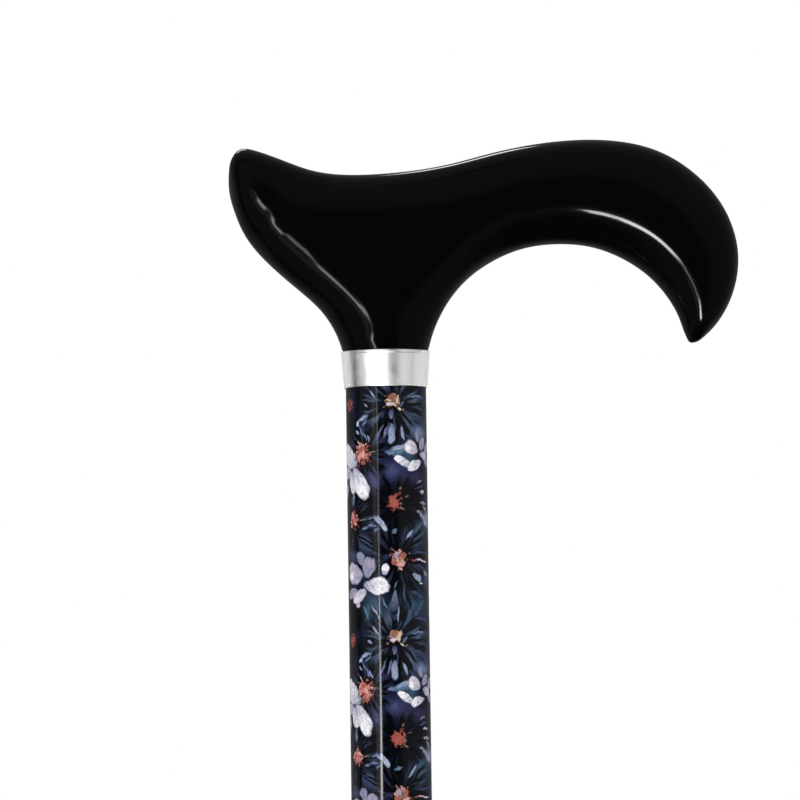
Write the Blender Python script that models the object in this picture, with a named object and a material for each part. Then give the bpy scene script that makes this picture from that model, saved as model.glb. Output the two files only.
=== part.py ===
"""Height-adjustable single point cane with a derby handle.

Metres, +Z up the shaft. The origin is the centre of the ferrule's flat bottom. +X points from the
shaft to the long end of the grip, and the height holes are on the +Y side. The cane is modelled at
its shortest setting, with the snap button in the highest hole.
"""
import math

import bmesh
import bpy
import numpy as np
from mathutils import Matrix

# Overall sizes
REST_LENGTH = 0.787
GRIP_HEIGHT = 0.0575
COLLAR_TOP_Z = REST_LENGTH - GRIP_HEIGHT
GAP = 0.0003

# Upper tube
UPPER_R = 0.0110
UPPER_BORE_R = 0.0099
UPPER_LENGTH = 0.4850
UPPER_TOP_Z = COLLAR_TOP_Z - 0.0045
UPPER_BOTTOM_Z = UPPER_TOP_Z - UPPER_LENGTH
EDGE_BREAK = 0.0002

# Height holes and snap button
HOLE_COUNT = 7
HOLE_PITCH = 0.0254
HOLE_R = 0.0033
TOP_HOLE_Z = UPPER_BOTTOM_Z + 0.1824
BUTTON_R = 0.0030
BUTTON_TIP_Y = 0.0133
BUTTON_BACK_Y = 0.0056
BUTTON_FLANGE_R = 0.0043
BUTTON_FLANGE_Y = 0.0066

# Lower tube and its guide
LOWER_R = 0.0095
LOWER_BORE_R = 0.0083
LOWER_BOTTOM_Z = 0.0101
LOWER_TOP_Z = TOP_HOLE_Z + 0.0600
GUIDE_R = 0.0098
GUIDE_SKIRT_R = 0.0080
GUIDE_SKIRT = 0.0120
GUIDE_HEAD = 0.0035
GUIDE_HOLE_R = 0.0060

# Leaf spring behind the button
SPRING_WIDTH = 0.0070
SPRING_THICKNESS = 0.0007
SPRING_LEG = 0.0300
SPRING_ABOVE_BUTTON = 0.0060

# Collar, a thin tapered band over the joint between handle and tube
COLLAR_HEIGHT = 0.0100
COLLAR_TOP_R = 0.01205
COLLAR_BOTTOM_R = 0.01145
COLLAR_WALL = 0.0003
COLLAR_RIM = 0.0001

# Handle fixing: a stud screwed into handle and plug, and two tacks through the tube into the plug
HANDLE_END_Z = UPPER_TOP_Z + GAP
STUD_R = 0.0040
STUD_HOLE_R = 0.0043
STUD_LENGTH = 0.0600
STUD_IN_HANDLE = 0.0280
PLUG_R = 0.0096
PLUG_LENGTH = 0.0450
TACK_R = 0.0010
TACK_HOLE_R = 0.0013
TACK_TIP_X = 0.0056
TACK_HEAD_X = 0.0109
TACK_DEPTH = 0.0030

# Locking ring, heights measured from the end of the upper tube
BUSHING_BORE_R = 0.01120
THREAD_R = 0.0130
RING_R = 0.0150
RING_BOTTOM = -0.0123
RING_TOP = 0.0150
RING_FLUTES = 24
FLUTE_DEPTH = 0.0006
CLAMP_SPLIT = 0.0020

# Ferrule
FERRULE_BASE_R = 0.0180
FERRULE_HEIGHT = 0.0475
FERRULE_BORE_R = 0.0098
FERRULE_FLOOR = 0.0080
WASHER_R = 0.0094
WASHER_HOLE_R = 0.0030
WASHER_THICKNESS = 0.0015

TUBE_SIDES = 40
HOLE_SIDES = 20

# Handle, measured from the shaft's axis at the collar's top edge. Each station across the grip gives
# its top edge (x, z), its bottom edge (x, z) and its half thickness, from the nose to the curl's tip.
STATIONS = (
    ((-0.0404, 0.0553), (-0.0424, 0.0470), 0.0042),
    ((-0.0345, 0.0557), (-0.0408, 0.0388), 0.0086),
    ((-0.0255, 0.0523), (-0.0364, 0.0299), 0.0102),
    ((-0.0115, 0.0489), (-0.0270, 0.0202), 0.0114),
    ((0.0120, 0.0502), (0.0238, 0.0205), 0.0121),
    ((0.0290, 0.0540), (0.0352, 0.0269), 0.0122),
    ((0.0450, 0.0569), (0.0465, 0.0289), 0.0122),
    ((0.0605, 0.0574), (0.0575, 0.0278), 0.0121),
    ((0.0745, 0.0546), (0.0672, 0.0236), 0.0118),
    ((0.0857, 0.0477), (0.0736, 0.0186), 0.0112),
    ((0.0935, 0.0381), (0.0777, 0.0136), 0.0102),
    ((0.0970, 0.0270), (0.0803, 0.0089), 0.0089),
    ((0.0962, 0.0172), (0.0816, 0.0052), 0.0074),
    ((0.0930, 0.0095), (0.0826, 0.0027), 0.0056),
    ((0.0884, 0.0038), (0.0842, 0.0013), 0.0030),
)
NECK_AFTER = 3
GRIP_FULLNESS = 0.906
# Rows down the neck: the left edge (x, z), the right edge (x, z) and the half thickness.
NECK_ROWS = (
    ((-0.0178, 0.0118), (0.0164, 0.0118), 0.0118),
    ((-0.0131, 0.0042), (0.0129, 0.0042), 0.0119),
    ((-0.0115, -0.0003), (0.0115, -0.0003), 0.0115),
    ((-0.0112, -0.0050), (0.0112, -0.0050), 0.0112),
    ((-0.0111, -0.0100), (0.0111, -0.0100), 0.0111),
)
NECK_FULLNESS = math.sin(math.radians(60))
HANDLE_LEVELS = 2

# Colour (linear), roughness and metallic value of each material
FINISHES = {
    "black_lacquer": ((0.006, 0.006, 0.007), 0.08, 0.0),
    "polished_silver": ((0.78, 0.78, 0.80), 0.12, 1.0),
    "floral_lacquer": ((0.030, 0.035, 0.070), 0.20, 0.2),
    "black_anodised": ((0.020, 0.021, 0.026), 0.35, 0.8),
    "zinc_steel": ((0.60, 0.61, 0.63), 0.30, 1.0),
    "spring_steel": ((0.35, 0.35, 0.37), 0.32, 1.0),
    "hardwood": ((0.48, 0.30, 0.15), 0.60, 0.0),
    "black_nylon": ((0.018, 0.018, 0.020), 0.45, 0.0),
    "white_nylon": ((0.80, 0.79, 0.75), 0.45, 0.0),
    "black_rubber": ((0.022, 0.021, 0.020), 0.75, 0.0),
}


def clear_scene():
    for obj in list(bpy.data.objects):
        bpy.data.objects.remove(obj, do_unlink=True)


def material(name):
    found = bpy.data.materials.get(name)
    if found:
        return found
    colour, roughness, metallic = FINISHES[name]
    made = bpy.data.materials.new(name)
    made.use_nodes = True
    shader = made.node_tree.nodes["Principled BSDF"]
    shader.inputs["Base Color"].default_value = (*colour, 1.0)
    shader.inputs["Roughness"].default_value = roughness
    shader.inputs["Metallic"].default_value = metallic
    return made


def empty(name, z):
    obj = bpy.data.objects.new(name, None)
    obj.location.z = z
    bpy.context.collection.objects.link(obj)
    return obj


def place(name, mesh, finish, parent=None, z=0.0, sharp_angle=math.radians(35)):
    """Link a mesh as a named part, z above its parent's origin, shaded smooth but for its edges."""
    mesh.shade_smooth()
    mesh.set_sharp_from_angle(angle=sharp_angle)
    mesh.materials.append(material(finish))
    obj = bpy.data.objects.new(name, mesh)
    obj.parent = parent
    obj.location.z = z
    bpy.context.collection.objects.link(obj)
    return obj


def turned(name, outline, sides=TUBE_SIDES, flutes=0):
    """Turn a closed outline of (radius, height) points round Z. A radius of 0 makes a pole."""
    verts, faces, rings = [], [], []
    for radius, height in outline:
        count = sides if radius else 1
        rings.append([len(verts) + i for i in range(count)])
        for i in range(count):
            turn = 2 * math.pi * i / sides
            verts.append((radius * math.cos(turn), radius * math.sin(turn), height))
    for ring, following in zip(rings, rings[1:] + rings[:1]):
        for i in range(sides):
            corners = [ring[i % len(ring)], ring[(i + 1) % sides % len(ring)]]
            corners += [following[(i + 1) % sides % len(following)], following[i % len(following)]]
            distinct = list(dict.fromkeys(corners))
            if len(distinct) > 2:
                faces.append(distinct)
    mesh = bpy.data.meshes.new(name)
    mesh.from_pydata(verts, [], faces)
    if flutes:
        cut_flutes(mesh, sides // flutes)
    outward(mesh)
    return mesh


def cut_flutes(mesh, every):
    """Pull every so many columns of the outermost ring of points in, as knurling."""
    widest = max(math.hypot(*vert.co.xy) for vert in mesh.vertices)
    rim = [vert for vert in mesh.vertices if math.hypot(*vert.co.xy) > widest - EDGE_BREAK]
    for column, vert in enumerate(rim):
        if column % every == 0:
            vert.co.xy *= 1 - FLUTE_DEPTH / widest


def outward(mesh):
    work = bmesh.new()
    work.from_mesh(mesh)
    bmesh.ops.recalc_face_normals(work, faces=work.faces)
    work.to_mesh(mesh)
    work.free()


def rod_mesh(name, radius, length, sides=HOLE_SIDES):
    """A plain round bar that stands on the XY plane."""
    return turned(name, ((0, 0), (radius, 0), (radius, length), (0, length)), sides)


def cutter(name, mesh, matrix):
    obj = bpy.data.objects.new(name, mesh)
    obj.matrix_world = matrix
    obj.hide_render = True
    obj.display_type = "WIRE"
    bpy.context.collection.objects.link(obj)
    return obj


def cut(obj, tool):
    hole = obj.modifiers.new(tool.name, "BOOLEAN")
    hole.operation = "DIFFERENCE"
    hole.solver = "EXACT"
    hole.object = tool


def drill(name, radius, start, axis, length):
    """A round cutter from a point, along +Z, +Y or +X."""
    turns = {
        "Z": Matrix.Identity(4),
        "Y": Matrix.Rotation(math.radians(-90), 4, "X"),
        "X": Matrix.Rotation(math.radians(90), 4, "Y"),
    }
    return cutter(name, rod_mesh(name, radius, length), Matrix.Translation(start) @ turns[axis])


def tube_outline(outer, bore, length):
    """A tube's wall, with its four edges broken."""
    edge = EDGE_BREAK
    return (
        (outer - edge, 0),
        (outer, edge),
        (outer, length - edge),
        (outer - edge, length),
        (bore + edge, length),
        (bore, length - edge),
        (bore, edge),
        (bore + edge, 0),
    )


def subdivision_weights(count, faces):
    """The matrix that takes cage points to where Catmull-Clark subdivision leaves them."""
    near = [set() for _ in range(count)]
    far = [[] for _ in range(count)]
    for face in faces:
        for i, corner in enumerate(face):
            near[corner] |= {face[i - 1], face[(i + 1) % 4]}
            far[corner].append(face[(i + 2) % 4])
    weights = np.zeros((count, count))
    for i in range(count):
        valence = len(far[i])
        weights[i, i] = valence * valence
        weights[i, list(near[i])] += 4
        weights[i, far[i]] += 1
        weights[i] /= valence * (valence + 5)
    return weights


def section(first, last, half_thickness, fullness):
    """Six points round a section, from its first edge to its last and back."""
    start, end = np.array([first[0], 0, first[1]]), np.array([last[0], 0, last[1]])
    side = np.array([0, fullness * half_thickness, 0])
    quarter, three_quarters = start * 0.75 + end * 0.25, start * 0.25 + end * 0.75
    return [start, quarter - side, three_quarters - side, end, three_quarters + side, quarter + side]


def handle_cage():
    """The handle's surface points and four-sided faces: sections along the grip, and the neck."""
    points, grip, neck = [], [], []
    for rows, numbers, fullness in ((STATIONS, grip, GRIP_FULLNESS), (NECK_ROWS, neck, NECK_FULLNESS)):
        for first, last, half_thickness in rows:
            numbers.append([len(points) + i for i in range(6)])
            points += section(first, last, half_thickness, fullness)
    faces = []
    for k, (a, b) in enumerate(zip(grip, grip[1:])):
        for i in range(6):
            opens_to_neck = k == NECK_AFTER and i in (2, 3)
            if not opens_to_neck:
                faces.append((a[i], a[(i + 1) % 6], b[(i + 1) % 6], b[i]))
    a, b = grip[NECK_AFTER], grip[NECK_AFTER + 1]
    shoulder = [a[3], a[2], b[2], b[3], b[4], a[4]]
    for upper, lower in zip([shoulder] + neck[:-1], neck):
        for i in range(6):
            faces.append((upper[i], upper[(i + 1) % 6], lower[(i + 1) % 6], lower[i]))
    for ring in (grip[0], grip[-1], neck[-1]):
        faces += [(ring[0], ring[1], ring[2], ring[3]), (ring[3], ring[4], ring[5], ring[0])]
    return np.array(points), faces


def make_handle(parent):
    points, faces = handle_cage()
    cage = np.linalg.solve(subdivision_weights(len(points), faces), points)
    mesh = bpy.data.meshes.new("derby_handle")
    mesh.from_pydata(cage.tolist(), [], faces)
    outward(mesh)
    handle = place("derby_handle", mesh, "black_lacquer", parent, COLLAR_TOP_Z, math.radians(60))
    smooth = handle.modifiers.new("round", "SUBSURF")
    smooth.levels = HANDLE_LEVELS
    smooth.render_levels = HANDLE_LEVELS
    square_end = drill("handle_end_cutter", 2 * UPPER_R, (0, 0, HANDLE_END_Z - 0.02), "Z", 0.02)
    cut(handle, square_end)
    bore_start = HANDLE_END_Z - 0.002
    bore_length = STUD_IN_HANDLE + 0.004
    cut(handle, drill("handle_bore_cutter", STUD_HOLE_R, (0, 0, bore_start), "Z", bore_length))


def make_fixing(parent):
    """The stud, the plug that takes it, and the two tacks that hold the plug in the tube."""
    stud_bottom = HANDLE_END_Z + STUD_IN_HANDLE - STUD_LENGTH
    edge = STUD_R / 8
    stud_outline = (
        (0, 0),
        (STUD_R - edge, 0),
        (STUD_R, edge),
        (STUD_R, STUD_LENGTH - edge),
        (STUD_R - edge, STUD_LENGTH),
        (0, STUD_LENGTH),
    )
    place("handle_stud", turned("handle_stud", stud_outline, HOLE_SIDES), "zinc_steel", parent, stud_bottom)
    plug_outline = (
        (0, -PLUG_LENGTH),
        (PLUG_R - 0.001, -PLUG_LENGTH),
        (PLUG_R, -PLUG_LENGTH + 0.001),
        (PLUG_R, 0),
        (0, 0),
    )
    plug = place("shaft_plug", turned("shaft_plug", plug_outline), "hardwood", parent, UPPER_TOP_Z)
    socket_bottom = stud_bottom - GAP
    socket_depth = UPPER_TOP_Z - socket_bottom + 0.002
    cut(plug, drill("plug_bore_cutter", STUD_HOLE_R, (0, 0, socket_bottom), "Z", socket_depth))
    tack_z = UPPER_TOP_Z - TACK_DEPTH
    tack_outline = ((0, TACK_TIP_X), (TACK_R, TACK_TIP_X + 0.0012), (TACK_R, TACK_HEAD_X), (0, TACK_HEAD_X))
    for name, turn in (("plug_tack_left", -90), ("plug_tack_right", 90)):
        tack = place(name, turned(name, tack_outline, HOLE_SIDES), "zinc_steel", parent, tack_z)
        tack.rotation_euler.y = math.radians(turn)
    tack_start = TACK_TIP_X - GAP
    for side in (-1, 1):
        start_x = tack_start if side > 0 else -2 * UPPER_R
        tool = drill(f"tack_cutter_{side}", TACK_HOLE_R, (start_x, 0, tack_z), "X", 2 * UPPER_R - tack_start)
        cut(plug, tool)
        cut(bpy.data.objects["upper_tube"], tool)


def make_upper_tube(parent):
    mesh = turned("upper_tube", tube_outline(UPPER_R, UPPER_BORE_R, UPPER_LENGTH))
    tube = place("upper_tube", mesh, "floral_lacquer", parent, UPPER_BOTTOM_Z)
    for i in range(HOLE_COUNT):
        start = (0, UPPER_BORE_R / 2, TOP_HOLE_Z - i * HOLE_PITCH)
        cut(tube, drill(f"height_hole_cutter_{i + 1}", HOLE_R, start, "Y", UPPER_R))


def make_collar(parent):
    rim_z = COLLAR_HEIGHT * 0.92
    rim_r = COLLAR_TOP_R + COLLAR_RIM
    outline = (
        (COLLAR_BOTTOM_R - COLLAR_WALL, 0),
        (COLLAR_BOTTOM_R, 0),
        (COLLAR_TOP_R, rim_z),
        (rim_r, rim_z + 0.0002),
        (rim_r, COLLAR_HEIGHT - 0.0002),
        (rim_r - 0.0002, COLLAR_HEIGHT),
        (COLLAR_TOP_R - COLLAR_WALL, COLLAR_HEIGHT),
        (COLLAR_TOP_R - COLLAR_WALL, rim_z),
    )
    bottom_z = COLLAR_TOP_Z - COLLAR_HEIGHT
    place("collar", turned("collar", outline), "polished_silver", parent, bottom_z)


def make_bushing(parent):
    """The threaded bushing on the tube's end, with a conical seat for the clamp ring."""
    outline = (
        (BUSHING_BORE_R, 0.0200),
        (0.0120, 0.0200),
        (0.0144, 0.0178),
        (0.0144, RING_TOP + GAP),
        (THREAD_R, RING_TOP + GAP),
        (THREAD_R, -0.0050),
        (0.0124, -0.0060),
        (0.0119, -0.0060),
        (0.00975, -0.0026),
        (0.00975, -GAP),
        (BUSHING_BORE_R, -GAP),
    )
    mesh = turned("threaded_bushing", outline)
    place("threaded_bushing", mesh, "black_nylon", parent, UPPER_BOTTOM_Z)


def make_clamp_ring(parent):
    outline = (
        (0.0097, -0.0090),
        (0.01155, -0.0090),
        (0.01155, -0.0060),
        (0.01015, -0.0038),
        (0.0097, -0.0038),
    )
    ring = place("clamp_ring", turned("clamp_ring", outline), "white_nylon", parent, UPPER_BOTTOM_Z)
    slot = bpy.data.meshes.new("clamp_split_cutter")
    work = bmesh.new()
    size = Matrix.Diagonal((CLAMP_SPLIT, 2 * UPPER_R, 4 * UPPER_R, 1))
    bmesh.ops.create_cube(work, size=1, matrix=size)
    work.to_mesh(slot)
    work.free()
    cut(ring, cutter("clamp_split_cutter", slot, Matrix.Translation((0, -UPPER_R, UPPER_BOTTOM_Z))))


def make_locking_ring(parent):
    edge = 0.0006
    outline = (
        (THREAD_R + 0.0002, RING_TOP),
        (RING_R - edge, RING_TOP),
        (RING_R - edge / 2, RING_TOP - edge),
        (RING_R, RING_TOP - 2 * edge),
        (RING_R, RING_BOTTOM + 2 * edge),
        (RING_R - edge / 2, RING_BOTTOM + edge),
        (RING_R - edge, RING_BOTTOM),
        (LOWER_R + 0.00045, RING_BOTTOM),
        (LOWER_R + 0.00045, -0.0093),
        (THREAD_R + 0.0002, -0.0093),
    )
    mesh = turned("locking_ring", outline, 3 * RING_FLUTES, RING_FLUTES)
    place("locking_ring", mesh, "black_anodised", parent, UPPER_BOTTOM_Z, math.radians(20))


def make_lower_tube(parent):
    length = LOWER_TOP_Z - LOWER_BOTTOM_Z
    mesh = turned("lower_tube", tube_outline(LOWER_R, LOWER_BORE_R, length))
    tube = place("lower_tube", mesh, "black_anodised", parent, LOWER_BOTTOM_Z)
    cut(tube, drill("button_hole_cutter", HOLE_R, (0, LOWER_BORE_R / 2, TOP_HOLE_Z), "Y", UPPER_R))
    guide_outline = (
        (GUIDE_HOLE_R, -GUIDE_SKIRT),
        (GUIDE_SKIRT_R, -GUIDE_SKIRT),
        (GUIDE_SKIRT_R, GAP),
        (GUIDE_R, GAP),
        (GUIDE_R, GUIDE_HEAD - 0.0005),
        (GUIDE_R - 0.0005, GUIDE_HEAD),
        (GUIDE_HOLE_R, GUIDE_HEAD),
    )
    place("tube_guide", turned("tube_guide", guide_outline), "white_nylon", parent, LOWER_TOP_Z)


def make_button(parent):
    """The button's axis is along Y, so its outline is turned round Z and laid over."""
    outline = (
        (0, BUTTON_BACK_Y),
        (BUTTON_FLANGE_R, BUTTON_BACK_Y),
        (BUTTON_FLANGE_R, BUTTON_FLANGE_Y),
        (BUTTON_R, BUTTON_FLANGE_Y),
        (BUTTON_R, BUTTON_TIP_Y - 0.0014),
        (BUTTON_R * 0.82, BUTTON_TIP_Y - 0.0006),
        (BUTTON_R * 0.45, BUTTON_TIP_Y - 0.0001),
        (0, BUTTON_TIP_Y),
    )
    mesh = turned("snap_button", outline, HOLE_SIDES)
    button = place("snap_button", mesh, "zinc_steel", parent, TOP_HOLE_Z)
    button.rotation_euler.x = math.radians(-90)


def spring_path():
    """The leaf's middle line in the YZ plane: down the button's leg, round the bend, up the other."""
    button_leg_y = BUTTON_BACK_Y - GAP - SPRING_THICKNESS / 2
    back_leg_y = -0.0067
    bend_r = 0.0034
    bend_y = -0.0006
    bend_z = SPRING_ABOVE_BUTTON - SPRING_LEG
    steps = 12
    bend = []
    for i in range(steps + 1):
        turn = -math.pi * i / steps
        bend.append((bend_y + bend_r * math.cos(turn), bend_z + bend_r * math.sin(turn)))
    top = SPRING_ABOVE_BUTTON
    return [(button_leg_y, top), *bend, (back_leg_y, top)]


def make_spring(parent):
    mesh = bpy.data.meshes.new("button_spring")
    half = SPRING_WIDTH / 2
    verts = [(x, y, z) for y, z in spring_path() for x in (-half, half)]
    faces = [(i, i + 1, i + 3, i + 2) for i in range(0, len(verts) - 2, 2)]
    mesh.from_pydata(verts, [], faces)
    spring = place("button_spring", mesh, "spring_steel", parent, TOP_HOLE_Z)
    leaf = spring.modifiers.new("leaf", "SOLIDIFY")
    leaf.thickness = SPRING_THICKNESS
    leaf.offset = 0


def make_ferrule(parent):
    """The rubber tip, with ring grooves in its tread, and the washer in the bottom of its socket."""
    groove = 0.0015
    base = FERRULE_BASE_R
    top = FERRULE_HEIGHT
    tread = (
        (0, 0),
        (0.0052, 0),
        (0.0058, groove),
        (0.0076, groove),
        (0.0082, 0),
        (0.0108, 0),
        (0.0114, groove),
        (0.0132, groove),
        (0.0138, 0),
        (base - 0.0006, 0),
    )
    wall = (
        (base, 0.0006),
        (base, 0.0040),
        (base - 0.0010, 0.0064),
        (base - 0.0030, 0.0092),
        (base - 0.0046, 0.0132),
        (base - 0.0053, 0.0200),
        (base - 0.0056, 0.0400),
        (base - 0.0048, 0.0412),
        (base - 0.0045, 0.0430),
        (base - 0.0047, 0.0452),
        (base - 0.0054, 0.0468),
        (base - 0.0064, top),
        (FERRULE_BORE_R + 0.0003, top),
        (FERRULE_BORE_R, top - 0.0003),
        (FERRULE_BORE_R, FERRULE_FLOOR),
        (0, FERRULE_FLOOR),
    )
    place("ferrule", turned("ferrule", tread + wall), "black_rubber", parent)
    washer = tube_outline(WASHER_R, WASHER_HOLE_R, WASHER_THICKNESS)
    mesh = turned("ferrule_washer", washer)
    place("ferrule_washer", mesh, "zinc_steel", parent, FERRULE_FLOOR + GAP)


def main():
    clear_scene()
    upper_frame = empty("upper_frame", 0)
    lower_frame = empty("lower_frame", 0)
    make_upper_tube(upper_frame)
    make_handle(upper_frame)
    make_fixing(upper_frame)
    make_collar(upper_frame)
    make_bushing(upper_frame)
    make_clamp_ring(upper_frame)
    make_locking_ring(upper_frame)
    make_lower_tube(lower_frame)
    make_button(lower_frame)
    make_spring(lower_frame)
    make_ferrule(lower_frame)


main()
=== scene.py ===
"""Looks for the single point cane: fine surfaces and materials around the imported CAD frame.

Metres, +Z up the shaft, +X to the long end of the grip. The printed pattern's own nodes count in
millimetres on the tube's unrolled surface.
"""
import math

import bmesh
import bpy
import numpy as np
from mathutils import Matrix, Vector


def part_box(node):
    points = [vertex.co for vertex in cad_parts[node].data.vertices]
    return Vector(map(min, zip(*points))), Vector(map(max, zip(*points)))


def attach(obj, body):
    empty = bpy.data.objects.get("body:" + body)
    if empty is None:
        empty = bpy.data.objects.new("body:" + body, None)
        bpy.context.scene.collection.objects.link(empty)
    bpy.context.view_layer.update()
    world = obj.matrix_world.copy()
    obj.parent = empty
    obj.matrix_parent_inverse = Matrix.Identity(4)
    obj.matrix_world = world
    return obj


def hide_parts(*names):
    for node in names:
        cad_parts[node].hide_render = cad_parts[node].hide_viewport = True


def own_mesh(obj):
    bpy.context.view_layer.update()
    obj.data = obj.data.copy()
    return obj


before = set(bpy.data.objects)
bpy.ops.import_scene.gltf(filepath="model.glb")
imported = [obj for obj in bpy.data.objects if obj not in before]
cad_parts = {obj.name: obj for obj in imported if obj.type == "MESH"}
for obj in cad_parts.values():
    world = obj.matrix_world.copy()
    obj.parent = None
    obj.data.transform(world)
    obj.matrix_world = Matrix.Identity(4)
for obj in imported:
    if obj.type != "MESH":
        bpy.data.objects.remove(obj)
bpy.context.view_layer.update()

MM = 0.001

# Heights and radii read from the frame
COLLAR_LOW, COLLAR_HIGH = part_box("collar")
UPPER_LOW, UPPER_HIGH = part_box("upper_tube")
LOWER_LOW, LOWER_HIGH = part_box("lower_tube")
RING_LOW, RING_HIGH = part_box("locking_ring")
BUSHING_LOW, BUSHING_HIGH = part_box("threaded_bushing")
BUTTON_LOW, BUTTON_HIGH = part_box("snap_button")
FERRULE_LOW, FERRULE_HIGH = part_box("ferrule")
TACK_LOW, TACK_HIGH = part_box("plug_tack_right")
COLLAR_TOP_Z = COLLAR_HIGH.z
HANDLE_END_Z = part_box("derby_handle")[0].z
UPPER_R = UPPER_HIGH.x
LOWER_R = LOWER_HIGH.x
BUTTON_Z = (BUTTON_LOW.z + BUTTON_HIGH.z) / 2
TACK_Z = (TACK_LOW.z + TACK_HIGH.z) / 2

# Bores and holes of the hidden walls
UPPER_BORE_R = 0.0099
LOWER_BORE_R = 0.0083
HOLE_COUNT = 7
HOLE_PITCH = 0.0254
HOLE_R = 0.0033
STUD_HOLE_R = 0.0043
STUD_HOLE_DEPTH = 0.0300
TACK_HOLE_R = 0.0013
FERRULE_BORE_R = 0.0098
FERRULE_FLOOR = 0.0080

# How finely the new surfaces are divided
TURN_SIDES = 144
SMALL_SIDES = 64
HANDLE_LEVELS = 4
SHARP_ANGLE = math.radians(40)

# Handle, measured from the shaft's axis at the collar's top edge. Each station across the grip gives
# its top edge (x, z), its bottom edge (x, z) and its half thickness, from the nose to the curl's tip.
STATIONS = (
    ((-0.0404, 0.0553), (-0.0424, 0.0470), 0.0042),
    ((-0.0345, 0.0557), (-0.0408, 0.0388), 0.0086),
    ((-0.0255, 0.0523), (-0.0364, 0.0299), 0.0102),
    ((-0.0115, 0.0489), (-0.0270, 0.0202), 0.0114),
    ((0.0120, 0.0502), (0.0238, 0.0205), 0.0121),
    ((0.0290, 0.0540), (0.0352, 0.0269), 0.0122),
    ((0.0450, 0.0569), (0.0465, 0.0289), 0.0122),
    ((0.0605, 0.0574), (0.0575, 0.0278), 0.0121),
    ((0.0745, 0.0546), (0.0672, 0.0236), 0.0118),
    ((0.0857, 0.0477), (0.0736, 0.0186), 0.0112),
    ((0.0935, 0.0381), (0.0777, 0.0136), 0.0102),
    ((0.0970, 0.0270), (0.0803, 0.0089), 0.0089),
    ((0.0962, 0.0172), (0.0816, 0.0052), 0.0074),
    ((0.0930, 0.0095), (0.0826, 0.0027), 0.0056),
    ((0.0884, 0.0038), (0.0842, 0.0013), 0.0030),
)
NECK_AFTER = 3
GRIP_FULLNESS = 0.906
# Rows down the neck: the left edge (x, z), the right edge (x, z) and the half thickness.
NECK_ROWS = (
    ((-0.0178, 0.0118), (0.0164, 0.0118), 0.0118),
    ((-0.0131, 0.0042), (0.0129, 0.0042), 0.0119),
    ((-0.0115, -0.0003), (0.0115, -0.0003), 0.0115),
    ((-0.0112, -0.0050), (0.0112, -0.0050), 0.0112),
    ((-0.0111, -0.0100), (0.0111, -0.0100), 0.0111),
)
NECK_FULLNESS = math.sin(math.radians(60))

# The printed pattern, in millimetres on the unrolled tube: u runs round to the right from the front,
# v up from the collar's top. It repeats down the tube, and half way round it drops by half a repeat.
PRINT_REPEAT = 64.3
PRINT_HALF_TURN = math.pi * UPPER_R / MM
PRINT_DROP = PRINT_REPEAT / 2

# ---------------- node helpers

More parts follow.
